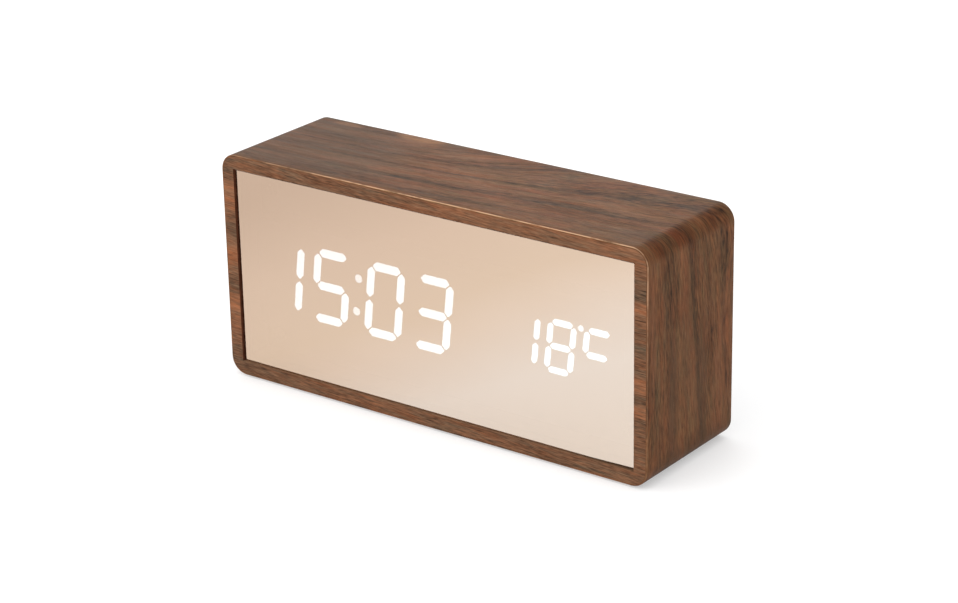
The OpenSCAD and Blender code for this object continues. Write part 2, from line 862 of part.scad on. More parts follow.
module battery_cells() {
    color("gold") for (i = [0:cell_count - 1]) let (s = cell_way(i))
        translate([plate_x(s), cell_y, cell_z(i)]) rotate([0, -90 * s, 0]) {
            cylinder(r = nub_r, h = nub_h * 2);
            translate([0, 0, nub_h]) cylinder(r = cell_d / 2, h = cell_l - nub_h);
        }
}

// Middle line of a contact spring along +Z: a straight start, a cone of turns, a straight end
spring_rise = spring_l - 2 * spring_wire;
SPRING_STEPS = spring_turns * SPRING_RINGS;
function spring_point(i) =
    let (u = i / SPRING_STEPS, r = spring_r + (spring_end_r - spring_r) * u, a = 360 * spring_turns * u)
    [r * cos(a), r * sin(a), spring_wire + spring_rise * u];
SPRING_LINE = concat([[spring_r, 0, 0]], [for (i = [0:SPRING_STEPS]) spring_point(i)],
    [[spring_point(SPRING_STEPS).x, spring_point(SPRING_STEPS).y, spring_l]]);
spring_least_gap = min([for (i = [0:SPRING_STEPS - SPRING_RINGS])
    norm(spring_point(i + SPRING_RINGS) - spring_point(i))]) - spring_wire;
echo(str("Least gap between a spring's turns: ", spring_least_gap, " mm"));

module battery_springs() {
    color("silver") for (i = [0:cell_count - 1]) let (s = -cell_way(i))
        translate([plate_x(s), cell_y, cell_z(i)]) rotate([0, -90 * s, 0])
            tube(SPRING_LINE, spring_wire, SPRING_SIDES, SPRING_SIDE);
}

// A contact plate at side s from cell i to cell j
module contact_plate(s, i, j) {
    translate([plate_x(s) + min(s, 0) * contact_t, cell_y - contact_w / 2, cell_z(i) - contact_w / 2])
        cube([contact_t, contact_w, cell_z(j) - cell_z(i) + contact_w]);
}

module solder_tab(x, z) {
    translate([x - contact_t / 2, tray_y0 - tab_out, z - tab_w / 2])
        cube([contact_t, cell_y - tray_y0 + tab_out, tab_w]);
}

module contact_plates() {
    color("silver") {
        contact_plate(-1, 0, 0);
        solder_tab(minus_x, minus_z);
        contact_plate(1, 0, 1);
        contact_plate(-1, 1, 2);
        contact_plate(1, 2, 2);
        solder_tab(plus_x, plus_z);
    }
}

// A lead leaves its tab towards the front, sags and turns back into the board
function lead_line(from, to) = let (down = [0, -lead_sag, 0]) [for (i = [0:LEAD_STEPS])
    let (u = i / LEAD_STEPS, v = 1 - u)
    v * v * v * from + 3 * v * v * u * (from + down) + 3 * v * u * u * (to + down) + u * u * u * to];

module lead(x, z) {
    tube(lead_line([x, tray_y0 - tab_out, z], [pad_x, main_y0, z]), lead_d, LEAD_SIDES, [0, 0, 1]);
}

module positive_lead() {
    color("red") lead(plus_x, plus_z);
}

module negative_lead() {
    color("black") lead(minus_x, minus_z);
}

// The door turns about its half-round lower edge, on a pin at each end
module door_bar(r, l) {
    translate([tray_x - l / 2, hinge_y, hinge_z]) rotate([0, 90, 0]) cylinder(r = r, h = l);
}

// Grip ribs under the finger scoop
module door_ribs() {
    for (i = [1:rib_count]) at(tray_x, door_top - scoop_r - i * rib_pitch)
        slab(cover_y1 - eps, cover_y1 + rib_t) square([rib_l, rib_w], center = true);
}

module battery_door() {
    color("#1c1c1c") difference() {
        union() {
            translate([tray_x - door_w / 2, door_y0, hinge_z]) cube([door_w, door_t, door_top - hinge_z]);
            translate([tray_x - latch_w / 2, door_y0, door_top - eps])
                cube([latch_w, latch_t, latch_h + eps]);
            door_bar(door_t / 2, door_w);
            door_bar(pin_r, door_w + 2 * pin_l);
            door_ribs();
        }
        at(tray_x, door_top) rod(scoop_r, cover_y1 - scoop_d, cover_y1 + eps);
    }
}

top_board();
bottom_board();
left_board();
right_board();
corner_blocks();
veneer_wrap();
front_veneer();
rear_veneer();
rubber_feet();
mirror_panel();
panel_tape();
segment_housing();
lit_segments();
unlit_segments();
led_chips();
display_board();
display_screws();
display_driver();
display_header();
ribbon_cable();
main_header();
rear_cover();
cover_screws();
main_board();
board_screws();
controller_chip();
crystal_can();
capacitor();
buzzer();
microphone();
temperature_sensor();
usb_shell();
usb_tongue();
switch_bodies();
set_button();
set_plunger();
up_button();
up_plunger();
down_button();
down_plunger();
battery_door();
battery_cells();
battery_springs();
contact_plates();
positive_lead();
negative_lead();
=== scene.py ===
"""The looks of a walnut box clock: a mirror front with lit figures, and a black cover at the back."""
import math

import bmesh
import bpy
from mathutils import Matrix, Vector


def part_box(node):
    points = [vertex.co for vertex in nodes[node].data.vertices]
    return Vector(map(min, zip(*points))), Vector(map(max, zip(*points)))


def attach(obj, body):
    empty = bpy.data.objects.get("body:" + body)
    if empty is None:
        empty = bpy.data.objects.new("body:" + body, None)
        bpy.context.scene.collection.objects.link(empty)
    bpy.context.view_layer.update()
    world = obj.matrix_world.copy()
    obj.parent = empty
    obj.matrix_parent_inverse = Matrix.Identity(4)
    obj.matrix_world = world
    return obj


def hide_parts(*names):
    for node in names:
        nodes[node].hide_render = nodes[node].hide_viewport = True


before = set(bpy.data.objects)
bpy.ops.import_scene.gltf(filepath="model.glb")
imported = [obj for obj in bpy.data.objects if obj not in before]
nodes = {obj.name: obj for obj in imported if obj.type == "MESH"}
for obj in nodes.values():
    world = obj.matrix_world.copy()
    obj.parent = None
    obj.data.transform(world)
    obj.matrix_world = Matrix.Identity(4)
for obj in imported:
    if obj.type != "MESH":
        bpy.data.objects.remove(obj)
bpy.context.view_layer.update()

# Lengths below are in millimetres, and the frame is in metres
MM = 0.001
X = Vector((1, 0, 0))
Y = Vector((0, 1, 0))
Z = Vector((0, 0, 1))


def mm_box(node):
    """A CAD node's lowest and highest corners in millimetres."""
    low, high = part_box(node)
    return low / MM, high / MM


def mm_middle(node):
    """A CAD node's middle in millimetres."""
    low, high = mm_box(node)
    return (low + high) / 2


# Sizes taken from the frame
wrap_low, wrap_high = mm_box("veneer_wrap")
_, core_high = mm_box("front_veneer")
panel_low, panel_high = mm_box("mirror_panel")
_, cover_high = mm_box("rear_cover")
case_half_w = wrap_high.x
case_half_d = wrap_high.y
case_half_h = (wrap_high.z - wrap_low.z) / 2
case_mid_z = (wrap_high.z + wrap_low.z) / 2
veneer_t = wrap_high.x - core_high.x
opening_half_w = panel_high.x
cover_back = cover_high.y

# Rounding of the case's long edges, and the small easing of the veneer's front and back edges
corner_r = 5.2
edge_ease = 0.3


# Tools for materials

class Finish:
    """One procedural material: a Principled shader and the nodes that feed it."""

    def __init__(self, name, **constants):
        self.material = bpy.data.materials.new(name)
        self.material.use_nodes = True
        self.tree = self.material.node_tree
        self.shader = self.tree.nodes["Principled BSDF"]
        for socket, value in constants.items():
            self.set(socket.replace("_", " ").title().replace("Ior", "IOR"), value)

    def set(self, socket, value):
        """Puts a constant, or another node's output, on one of the shader's sockets."""
        self.put(self.shader.inputs[socket], value)

    def put(self, socket, value):
        """Puts a constant, or another node's output, on any socket."""
        if isinstance(value, bpy.types.NodeSocket):
            self.tree.links.new(value, socket)
        elif hasattr(value, "__len__") and len(value) == 3 and socket.type == "RGBA":
            socket.default_value = (*value, 1)
        else:
            socket.default_value = value

    def add(self, kind, output=0, **inputs):
        """A new node of that kind with those inputs, and one of its outputs."""
        node = self.tree.nodes.new("ShaderNode" + kind)
        for name, value in inputs.items():
            self.put(node.inputs[name.replace("_", " ").title()], value)
        return node.outputs[output]

    def object_place(self, *size):
        """The place on the object, in units of size millimetres along X, Y and Z."""
        place = self.add("TexCoord", "Object")
        return self.scaled(place, [1 / (s * MM) for s in size])

    def grain_place(self):
        """The place in the veneer's own map, in millimetres along and across the grain."""
        node = self.tree.nodes.new("ShaderNodeUVMap")
        node.uv_map = "grain"
        return node.outputs[0]

    def attribute(self, name):
        """A number that the mesh holds for each of its points."""
        node = self.tree.nodes.new("ShaderNodeAttribute")
        node.attribute_name = name
        return node.outputs["Fac"]

    def vector_math(self, operation, *values):
        """A node that works on vectors, with those inputs."""
        node = self.tree.nodes.new("ShaderNodeVectorMath")
        node.operation = operation
        for socket, value in zip(node.inputs, values):
            self.put(socket, value)
        return node

    def scaled(self, vector, factors):
        return self.vector_math("MULTIPLY", vector, factors).outputs[0]

    def shifted(self, vector, offset):
        return self.vector_math("ADD", vector, offset).outputs[0]

    def times(self, vector, factor):
        node = self.vector_math("SCALE", vector)
        self.put(node.inputs["Scale"], factor)
        return node.outputs[0]

    def length(self, vector):
        return self.vector_math("LENGTH", vector).outputs["Value"]

    def parts(self, vector):
        """A vector's three numbers as separate outputs."""
        node = self.tree.nodes.new("ShaderNodeSeparateXYZ")
        self.put(node.inputs[0], vector)
        return node.outputs

    def vector(self, x, y, z):
        return self.add("CombineXYZ", x=x, y=y, z=z)

    def noise(self, place, detail=3.0, roughness=0.5, distortion=0.0):
        return self.add("TexNoise", "Fac", vector=place, scale=1.0, detail=detail,
                        roughness=roughness, distortion=distortion)

    def cell_edges(self, place):
        """The distance to the nearest edge between irregular cells."""
        node = self.tree.nodes.new("ShaderNodeTexVoronoi")
        node.feature = "DISTANCE_TO_EDGE"
        self.put(node.inputs["Vector"], place)
        node.inputs["Scale"].default_value = 1.0
        return node.outputs["Distance"]

    def math(self, operation, a, b=0.0):
        node = self.tree.nodes.new("ShaderNodeMath")
        node.operation = operation
        self.put(node.inputs[0], a)
        self.put(node.inputs[1], b)
        return node.outputs[0]

    def product(self, first, *others):
        total = first
        for value in others:
            total = self.math("MULTIPLY", total, value)
        return total

    def centred(self, value, amount):
        """A value from 0 to 1, turned into one from minus to plus half the amount."""
        return self.product(self.math("SUBTRACT", value, 0.5), amount)

    def layered(self, start, *layers):
        """A start value with noises added, each centred and taken times its amount."""
        total = start
        for value, amount in layers:
            total = self.math("ADD", self.centred(value, amount), total)
        return total

    def between(self, value, low, high, to_low=0.0, to_high=1.0):
        """A value's span from low to high, taken smoothly to the span from to_low to to_high."""
        node = self.tree.nodes.new("ShaderNodeMapRange")
        node.interpolation_type = "SMOOTHSTEP"
        for socket, number in zip(node.inputs, (value, low, high, to_low, to_high)):
            self.put(socket, number)
        return node.outputs[0]

    def ramp(self, value, *stops, smooth=True):
        """Colours, or plain numbers, along a value from 0 to 1."""
        node = self.tree.nodes.new("ShaderNodeValToRGB")
        ramp = node.color_ramp
        ramp.interpolation = "EASE" if smooth else "LINEAR"
        while len(ramp.elements) < len(stops):
            ramp.elements.new(0.5)
        for element, (place, colour) in zip(ramp.elements, stops):
            element.position = place
            element.color = (*colour, 1) if hasattr(colour, "__len__") else (*grey(colour), 1)
        self.put(node.inputs[0], value)
        return node.outputs[0]

    def span_ramp(self, value, stops, smooth=True):
        """A ramp whose stops are places along the value itself."""
        low = stops[0][0]
        high = stops[-1][0]
        share = self.math("DIVIDE", self.math("SUBTRACT", value, low), high - low)
        return self.ramp(share, *[((p - low) / (high - low), c) for p, c in stops], smooth=smooth)

    def mix(self, share, a, b):
        """Colour a, with that share of colour b."""
        node = self.tree.nodes.new("ShaderNodeMix")
        node.data_type = "RGBA"
        self.put(node.inputs[0], share)
        self.put(node.inputs[6], a)
        self.put(node.inputs[7], b)
        return node.outputs[2]

    def bump(self, height, depth):
        """Raises the surface by height times depth millimetres, in its shading."""
        node = self.tree.nodes.new("ShaderNodeBump")
        node.inputs["Strength"].default_value = 1.0
        node.inputs["Distance"].default_value = depth * MM
        self.put(node.inputs["Height"], height)
        self.set("Normal", node.outputs[0])


def grey(value):
    return (value, value, value)


# Materials

def walnut(name, seed, look, place_of, rings_of, wear_and_shade=None):
    """Walnut veneer: dark rings across the sheet, with streaks, threads, fine fibres and pores along it.

    place_of gives the place along and across the grain, rings_of the rings there, and the last adds worn
    marks and painted shade.
    """
    pore_depth = 0.2
    least_shade = 0.2
    f = Finish(name, specular_ior_level=0.05)
    along, across = place_of(f)

    def drift(place, length, width, detail=2.0, apart=0.0):
        """Noise drawn out along the grain, in marks of that length and width."""
        shift = (seed + apart, seed * 0.37, seed * 1.7)
        drawn = f.scaled(place, (1 / length, 1 / width, 1))
        return f.noise(f.shifted(drawn, shift), detail, 0.55)

    sway = drift(f.vector(along, across, 0.0), 60, 18)
    bent = f.math("ADD", across, f.centred(sway, 4.0))
    flow = f.vector(along, bent, 0.0)
    broad = drift(flow, 50, 7)
    streak = drift(flow, 18, 1.8, 3.0)
    thread = drift(flow, 7.5, 0.5, 3.0)
    fibre = drift(flow, 3, 0.24)
    pores = f.between(drift(flow, 2.4, 0.17, 1.0), 0.58, 0.72)
    ragged = f.layered(bent, (streak, 1.5), (thread, 0.9))
    faded = f.between(drift(flow, 45, 9), 0.30, 0.62, look["faintest"], 1.0)
    rings = f.product(rings_of(f, along, ragged), faded)

    # The wood's shade and its redness vary apart
    contrast = look["contrast"]
    shade = f.layered(look["shade"], (broad, look["broad"]), (streak, 0.4 * contrast),
                      (thread, 1.15 * contrast), (fibre, 1.9 * contrast))
    shade = f.math("SUBTRACT", shade, f.product(rings, look["ring_depth"]))
    shade = f.math("SUBTRACT", shade, f.product(pores, pore_depth))
    tint = f.layered(look["redness"], (drift(flow, 24, 3.2, 2.0, 31.0), look["hue"]),
                     (drift(flow, 7, 0.9, 2.0, 57.0), look["hue"]))
    tint = f.math("SUBTRACT", tint, f.product(rings, look["ring_grey"]))
    colour = f.mix(tint, look["grey"], look["red"])
    colour = f.times(colour, f.math("MAXIMUM", shade, least_shade))
    if wear_and_shade:
        colour = wear_and_shade(f, thread, colour)
    f.set("Base Color", colour)
    f.set("Roughness", f.between(streak, 0.2, 0.8, 0.55, 0.44))
    f.bump(f.math("SUBTRACT", f.product(fibre, 0.6), pores), 0.018)
    return f.material


def cut_edge(name, dark, pale):
    """A cut edge of the veneered board, blotched by its stain."""
    f = Finish(name, specular_ior_level=0.1, roughness=0.8)
    blot = f.noise(f.object_place(2.5, 0.8, 2.5), 3.0)
    f.set("Base Color", f.ramp(blot, (0.3, dark), (0.7, pale)))
    f.bump(blot, 0.03)
    return f.material


def fibreboard():
    """Pressed wood fibre: short pale and dark flecks."""
    f = Finish("fibreboard", specular_ior_level=0.1, roughness=0.9)
    flecks = f.noise(f.object_place(0.9, 0.3, 0.3), 4.0, 0.65)
    f.set("Base Color", f.ramp(flecks, (0.3, (0.10, 0.052, 0.028)), (0.7, (0.20, 0.110, 0.060))))
    f.bump(flecks, 0.05)
    return f.material


def pine():
    """Pale softwood with rings along Y."""
    f = Finish("pine", specular_ior_level=0.2, roughness=0.7)
    rings = f.noise(f.object_place(1.2, 25, 1.2), 3.0, 0.5, 0.4)
    f.set("Base Color", f.ramp(rings, (0.3, (0.40, 0.25, 0.12)), (0.7, (0.62, 0.44, 0.25))))
    f.bump(rings, 0.03)
    return f.material


def copper_mirror():
    """The panel's face: a thin copper coating that reflects most light and lets some through, with a painted
    reflection in its colour.
    """
    f = Finish("copper_mirror", metallic=1.0, alpha=0.85)
    x, _, z = f.parts(f.object_place(50, 1, 24))
    cloud = f.noise(f.object_place(60, 60, 24), 1.0)
    place = f.layered(f.math("SUBTRACT", x, z), (cloud, 0.5))
    # Painted reflection: the coating's tints darken to the upper left and pale to the lower right, at their
    # places along the panel
    painted_reflection_tints = [
        (-3.7, (0.556, 0.402, 0.299)),
        (-2.5, (0.660, 0.489, 0.370)),
        (-1.6, (0.700, 0.534, 0.402)),
        (-1.2, (0.746, 0.588, 0.465)),
        (-0.3, (0.801, 0.693, 0.603)),
        (0.6, (0.796, 0.683, 0.586)),
    ]
    f.set("Base Color", f.span_ramp(place, painted_reflection_tints, smooth=False))
    f.set("Roughness", f.between(f.noise(f.object_place(6, 6, 6), 4.0), 0.3, 0.7, 0.03, 0.06))
    return f.material


def clear_acrylic(name, alpha):
    """Clear acrylic with a warm tint and a little haze."""
    f = Finish(name, alpha=alpha, specular_ior_level=0.3)
    haze = f.noise(f.object_place(3, 3, 3), 3.0)
    f.set("Base Color", f.mix(haze, (0.50, 0.33, 0.24), (0.58, 0.40, 0.30)))
    f.set("Roughness", f.between(haze, 0.3, 0.7, 0.15, 0.3))
    return f.material


def lit_diffuser(name, strength):
    """A milky diffuser with its cool white light on."""
    f = Finish(name, roughness=0.5, emission_strength=strength)
    cloud = f.noise(f.object_place(4, 4, 4), 2.0)
    glow = f.mix(cloud, (0.60, 0.83, 1.0), (0.66, 0.88, 1.0))
    f.set("Base Color", glow)
    f.set("Emission Color", glow)
    return f.material


def plastic(name, colour, lighter, roughness=(0.45, 0.6), grain=0.25, depth=0.03, specular=0.4):
    """Moulded plastic with a fine spark texture and a little unevenness."""
    f = Finish(name, specular_ior_level=specular)
    cloud = f.noise(f.object_place(9, 9, 9), 3.0)
    spark = f.noise(f.object_place(grain, grain, grain), 2.0, 0.6)
    f.set("Base Color", f.mix(f.between(cloud, 0.3, 0.7), colour, lighter))
    f.set("Roughness", f.between(spark, 0.3, 0.7, *roughness))
    f.bump(spark, depth)
    return f.material


def metal(name, colour, lighter, roughness=(0.25, 0.4), streak=(0.4, 4.0, 0.4)):
    """Plated metal with fine drawing marks."""
    f = Finish(name, metallic=1.0)
    brush = f.noise(f.object_place(*streak), 3.0)
    f.set("Base Color", f.mix(brush, colour, lighter))
    f.set("Roughness", f.between(brush, 0.3, 0.7, *roughness))
    f.bump(brush, 0.005)
    return f.material


def circuit_board(name, mask, track):
    """A board under solder mask, with the copper tracks showing through as paler lines."""
    f = Finish(name, specular_ior_level=0.5)
    edges = f.cell_edges(f.object_place(5, 50, 5))
    tracks = f.between(edges, 0.05, 0.03)
    cloud = f.noise(f.object_place(8, 8, 8), 2.0)
    paler_mask = [c * 1.3 for c in mask]
    f.set("Base Color", f.mix(tracks, f.mix(cloud, mask, paler_mask), track))
    f.set("Roughness", f.between(cloud, 0.3, 0.7, 0.3, 0.42))
    f.bump(tracks, 0.03)
    return f.material


def ribbon():
    """Grey ribbon cable: ridges along its wires."""
    f = Finish("ribbon", specular_ior_level=0.3)
    wire_pitch = 1.27
    _, _, z = f.parts(f.object_place(1, 1, wire_pitch / (2 * math.pi)))
    ridge = f.between(f.math("SINE", z), -1.0, 1.0)
    f.set("Base Color", f.mix(ridge, (0.13, 0.13, 0.14), (0.34, 0.34, 0.36)))
    f.set("Roughness", f.between(f.noise(f.object_place(2, 2, 2)), 0.3, 0.7, 0.45, 0.6))
    f.bump(ridge, 0.2)
    return f.material


def cell_jacket(name, colour, lighter):
    """A cell's printed film: faint ripples round it and small scuffs."""
    f = Finish(name, metallic=0.35, specular_ior_level=0.5)
    ripple = f.noise(f.object_place(0.8, 12, 12), 2.0)
    scuff = f.between(f.noise(f.object_place(1.5, 0.5, 0.5), 4.0, 0.7), 0.60, 0.72)
    f.set("Base Color", f.mix(ripple, colour, lighter))
    f.set("Roughness", f.between(scuff, 0.0, 1.0, 0.28, 0.5))
    f.bump(ripple, 0.02)
    return f.material


def floor_paint():
    """Pale matt paint, with a slight glow of its own."""
    f = Finish("floor_paint", roughness=0.9, specular_ior_level=0.1,
               emission_color=grey(1), emission_strength=0.38)
    cloud = f.noise(f.object_place(400, 400, 400))
    f.set("Base Color", f.mix(cloud, grey(0.64), grey(0.66)))
    return f.material


# Tools for pieces

def new_piece(mesh, materials, body):
    """A piece of the mesh's name, which rides on a body and holds those materials."""
    piece = bpy.data.objects.new(mesh.name, mesh)
    bpy.context.scene.collection.objects.link(piece)
    for material in materials:
        mesh.materials.append(material)
    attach(piece, body)
    return piece


def mesh_of(name, bm, smooth_angle=None):
    """A mesh from the working one, rounded in its shading where faces meet at less than the angle."""
    bmesh.ops.recalc_face_normals(bm, faces=bm.faces)
    mesh = bpy.data.meshes.new(name)
    bm.to_mesh(mesh)
    bm.free()
    if smooth_angle:
        mesh.shade_smooth()
        mesh.set_sharp_from_angle(angle=math.radians(smooth_angle))
    return mesh


def lathe(bm, profile, centre, axis, across, sides=48):
    """Turns a profile of (distance along, radius, material) round an axis, closed where a radius is 0."""
    other = axis.cross(across)
    rings = []
    for along, r, _ in profile:
        middle = centre + axis * along
        if r == 0:
            rings.append([bm.verts.new(middle * MM)])
            continue
        ring = []
        for i in range(sides):
            a = 2 * math.pi * i / sides
            spoke = across * math.cos(a) + other * math.sin(a)
            ring.append(bm.verts.new((middle + r * spoke) * MM))
        rings.append(ring)
    for a, b, (_, _, number) in zip(rings, rings[1:], profile):
        for i in range(sides):
            j = (i + 1) % sides
            corners = [a[i % len(a)], a[j % len(a)], b[j % len(b)], b[i % len(b)]]
            face = bm.faces.new(list(dict.fromkeys(corners)))
            face.material_index = number


def arc(middle_along, middle_r, r, start, end, number=0, steps=5):
    """Points of a profile on an arc, from one angle to another in degrees, from the axis's direction."""
    angles = [math.radians(start + (end - start) * i / steps) for i in range(steps + 1)]
    return [(middle_along + r * math.cos(a), middle_r + r * math.sin(a), number) for a in angles]


def dress(node, *materials):
    """Gives a CAD node its finish."""
    slots = nodes[node].data.materials
    slots.clear()
    for material in materials:
        slots.append(material)


def pick_faces(node, choose):
    """Gives each of a CAD node's faces the material whose number choose returns for it."""
    for face in nodes[node].data.polygons:
        face.material_index = choose(face)


# A face looks along an axis where its normal has more than this of it
square_on = 0.9


# Wood

def soft_step(low, high, value):
    """0 at low and 1 at high, with a soft start and end."""
    t = min(1.0, max(0.0, (value - low) / (high - low)))
    return t * t * (3 - 2 * t)


def fan(along):
    """How far the wrap's lines have spread from the front edge, at a place along the sheet."""
    narrowest = 0.84
    narrowing_l = 30
    widening = 0.0048
    if along < 0:
        return narrowest + (1 - narrowest) * math.exp(along / narrowing_l)
    return 1 + widening * along


def wrap_grain(along, depth):
    """The wrap's place in the grain. Rings fan out to the back, most of all behind one ring of the top."""
    fan_start = 30
    ring_middle = 1.6
    ring_slope = 0.117
    widest_spread = 0.43
    spread_start = -45
    spread_full = 30
    spread_end = 115
    ring_depth = ring_middle + ring_slope * min(along, case_half_w)
    spread = widest_spread * soft_step(spread_start, spread_full, along)
    spread *= soft_step(spread_end, case_half_w, along)
    across = (depth + fan_start) / fan(along) - fan_start
    return along, across - spread * max(0, depth - ring_depth)


def rounded_path(half_w, half_h, r, step=2.5, turn_steps=14):
    """Points round a rounded rectangle with their outward directions, clockwise from the bottom's middle."""
    corners = [(-1, -1, 270), (-1, 1, 180), (1, 1, 90), (1, -1, 0)]
    points = [(0.0, -half_h, 0.0, -1.0)]
    for side_x, side_z, start in corners:
        x = side_x * (half_w - r)
        z = side_z * (half_h - r)
        for i in range(turn_steps + 1):
            a = math.radians(start - 90 * i / turn_steps)
            out_x = math.cos(a)
            out_z = math.sin(a)
            points.append((x + r * out_x, z + r * out_z, out_x, out_z))
    points.append((0.0, -half_h, 0.0, -1.0))
    dense = []
    for a, b in zip(points, points[1:]):
        count = max(1, round(math.hypot(b[0] - a[0], b[1] - a[1]) / step))
        dense += [tuple(p + (q - p) * i / count for p, q in zip(a, b)) for i in range(count)]
    return dense


def build_wrap(material):
    """The veneer that runs round the case, with eased front and back edges."""
    path = rounded_path(case_half_w, case_half_h, corner_r)
    ease_steps = 3
    rows = 22
    smooth_angle = 50
    flat = case_half_d - edge_ease
    # A profile's points: how far in from the wrap's outside, the place along Y, and how much it is rubbed
    front = []
    for i in range(ease_steps + 1):
        a = math.radians(90 * i / ease_steps)
        front.append((edge_ease * (1 - math.sin(a)), -flat - edge_ease * math.cos(a), math.sin(2 * a)))
    middle = [(0.0, -flat + 2 * flat * i / rows, 0.0) for i in range(1, rows)]
    back = [(d, -y, rubbed) for d, y, rubbed in reversed(front)]
    profile = [(veneer_t, -case_half_d, 0.0), *front, *middle, *back, (veneer_t, case_half_d, 0.0)]

    bm = bmesh.new()
    arris = bm.verts.layers.float.new("arris")
    rings = []
    for x, z, out_x, out_z in path:
        ring = []
        for d, y, rubbed in profile:
            vert = bm.verts.new(((x - out_x * d) * MM, y * MM, (case_mid_z + z - out_z * d) * MM))
            vert[arris] = rubbed
            ring.append(vert)
        rings.append(ring)
    lengths = [0.0]
    closed = [*path, path[0]]
    for a, b in zip(closed, closed[1:]):
        lengths.append(lengths[-1] + math.hypot(b[0] - a[0], b[1] - a[1]))
    half = lengths[-1] / 2
    grain = bm.loops.layers.uv.new("grain")
    for i in range(len(path)):
        j = (i + 1) % len(path)
        for k in range(len(profile)):
            m = (k + 1) % len(profile)
            face = bm.faces.new((rings[i][k], rings[i][m], rings[j][m], rings[j][k]))
            places = ((i, k), (i, m), (i + 1, m), (i + 1, k))
            for loop, (ring, row) in zip(face.loops, places):
                loop[grain].uv = wrap_grain(lengths[ring] - half, profile[row][1])
    piece = new_piece(mesh_of("wrap_skin", bm, smooth_angle), [material], "clock_case")
    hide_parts("veneer_wrap")


def wrap_place(f):
    """The wrap's own map gives the place along and across its grain."""
    along, across, _ = f.parts(f.grain_place())
    return along, across


def wrap_rings(f, _, across):
    """The wrap's rings lie side by side across the sheet."""
    return f.span_ramp(across, wrap_lines)


def wrap_wear_and_shade(f, thread, colour):
    """Marks on the wrap: painted shade in bands across the upper bends, patches of colour with painted shade
    along the right side's bottom edge, and edges rubbed pale.
    """
    bend_start = 6
    bend_full = 3
    rub_l = 8
    rub_w = 30
    rub_low_z = 30
    rub_full_x = -20
    bare_wood = (0.57, 0.345, 0.205)
    place = f.object_place(1, 1, 1)
    x, y, z = f.parts(place)
    at_side = f.between(f.math("ABSOLUTE", x), case_half_w - bend_start, case_half_w - bend_full)
    at_top = f.between(z, wrap_high.z - bend_start, wrap_high.z - bend_full)
    # Painted shade on the upper bends, in bands across their depth
    bend_shaded = f.scaled(colour, (0.66, 0.52, 0.44))
    colour = f.mix(f.product(at_side, at_top, f.span_ramp(y, bend_shade_bands)), colour, bend_shaded)
    for middle, half_size, share, patch_colour in wrap_patches:
        away = f.shifted(place, [-m for m in middle])
        away = f.length(f.scaled(away, [1 / h for h in half_size]))
        streaky = f.between(thread, 0.35, 0.60, 0.45 * share, share)
        colour = f.mix(f.product(f.between(away, 1.0, 0.4), streaky), colour, patch_colour)
    # The rubbing comes and goes along the edges, and is fainter low down and at the left end
    rubbing = f.noise(f.scaled(f.grain_place(), (1 / rub_l, 1 / rub_w, 1)), 4.0, 0.6)
    rubbed = f.between(rubbing, 0.34, 0.58, 0.2, 1.0)
    higher = f.between(z, rub_low_z, wrap_high.z, 0.22, 1.0)
    inward = f.between(x, -case_half_w, rub_full_x, 0.3, 1.0)
    pale = f.product(f.attribute("arris"), rubbed, higher, inward)
    return f.mix(pale, colour, bare_wood)


def frame_place(f):
    """A frame's rings run level, with a slight slope."""
    x, _, z = f.parts(f.object_place(1, 1, 1))
    height = f.math("SUBTRACT", z, case_mid_z)
    return x, f.math("ADD", height, f.product(x, frame_slope))


def frame_rings(f, along, across):
    """The left stile's rings pass into the right stile's along the rails."""
    passing_half_l = 40
    left = f.span_ramp(across, [(z - stile_rise, dark) for z, dark in left_lines])
    right = f.span_ramp(across, [(z + stile_rise, dark) for z, dark in right_lines])
    share = f.between(along, -passing_half_l, passing_half_l)
    return f.math("ADD", left, f.product(f.math("SUBTRACT", right, left), share))


def frame_face(face):
    """The number of the material on a frame's face: veneer, or a cut edge, dark at an upright side and pale
    at a level side, which paints shade on the upright sides and light on the level ones.
    """
    if abs(face.normal.x) > square_on:
        return 1
    return 2 if abs(face.normal.z) > square_on else 0


# Dark rings, by their place across the sheet and how dark they are
wrap_lines = [
    (-45, 0.2), (-24, 0.25), (-19.5, 0.2), (-17.0, 0.6), (-15, 0.3), (-11, 0.1), (-10, 0.1),
    (-9.3, 0.9), (-6.8, 0.35), (-5.2, 0.05), (-0.6, 0.1), (1.0, 0.9), (1.9, 0.05), (8.0, 0.05),
    (9.0, 0.85), (10, 0.05), (15, 0.1), (17.5, 0.55), (20, 0.1), (26, 0.3), (45, 0.2),
]
# Painted shade across the upper bends, in bands by their depth and how dark they are
bend_shade_bands = [
    (-22, 0.1), (-19, 0.25), (-16.5, 0.9), (-14.5, 0.9), (-12.5, 0.25), (-9, 0.4), (-6, 0.9), (-4, 0.9),
    (0, 0.7), (4, 0.3), (7, 0.2), (9.5, 0.6), (11.5, 0.7), (14.5, 0.2), (22, 0.2),
]
# Patches of the top, and bands of the right side, the last two of them painted shade at its bottom edge:
# their middles, half sizes, strengths and colours
tan = (0.28, 0.136, 0.065)
dusk = (0.075, 0.048, 0.030)
umber = (0.076, 0.037, 0.019)
russet = (0.22, 0.083, 0.038)
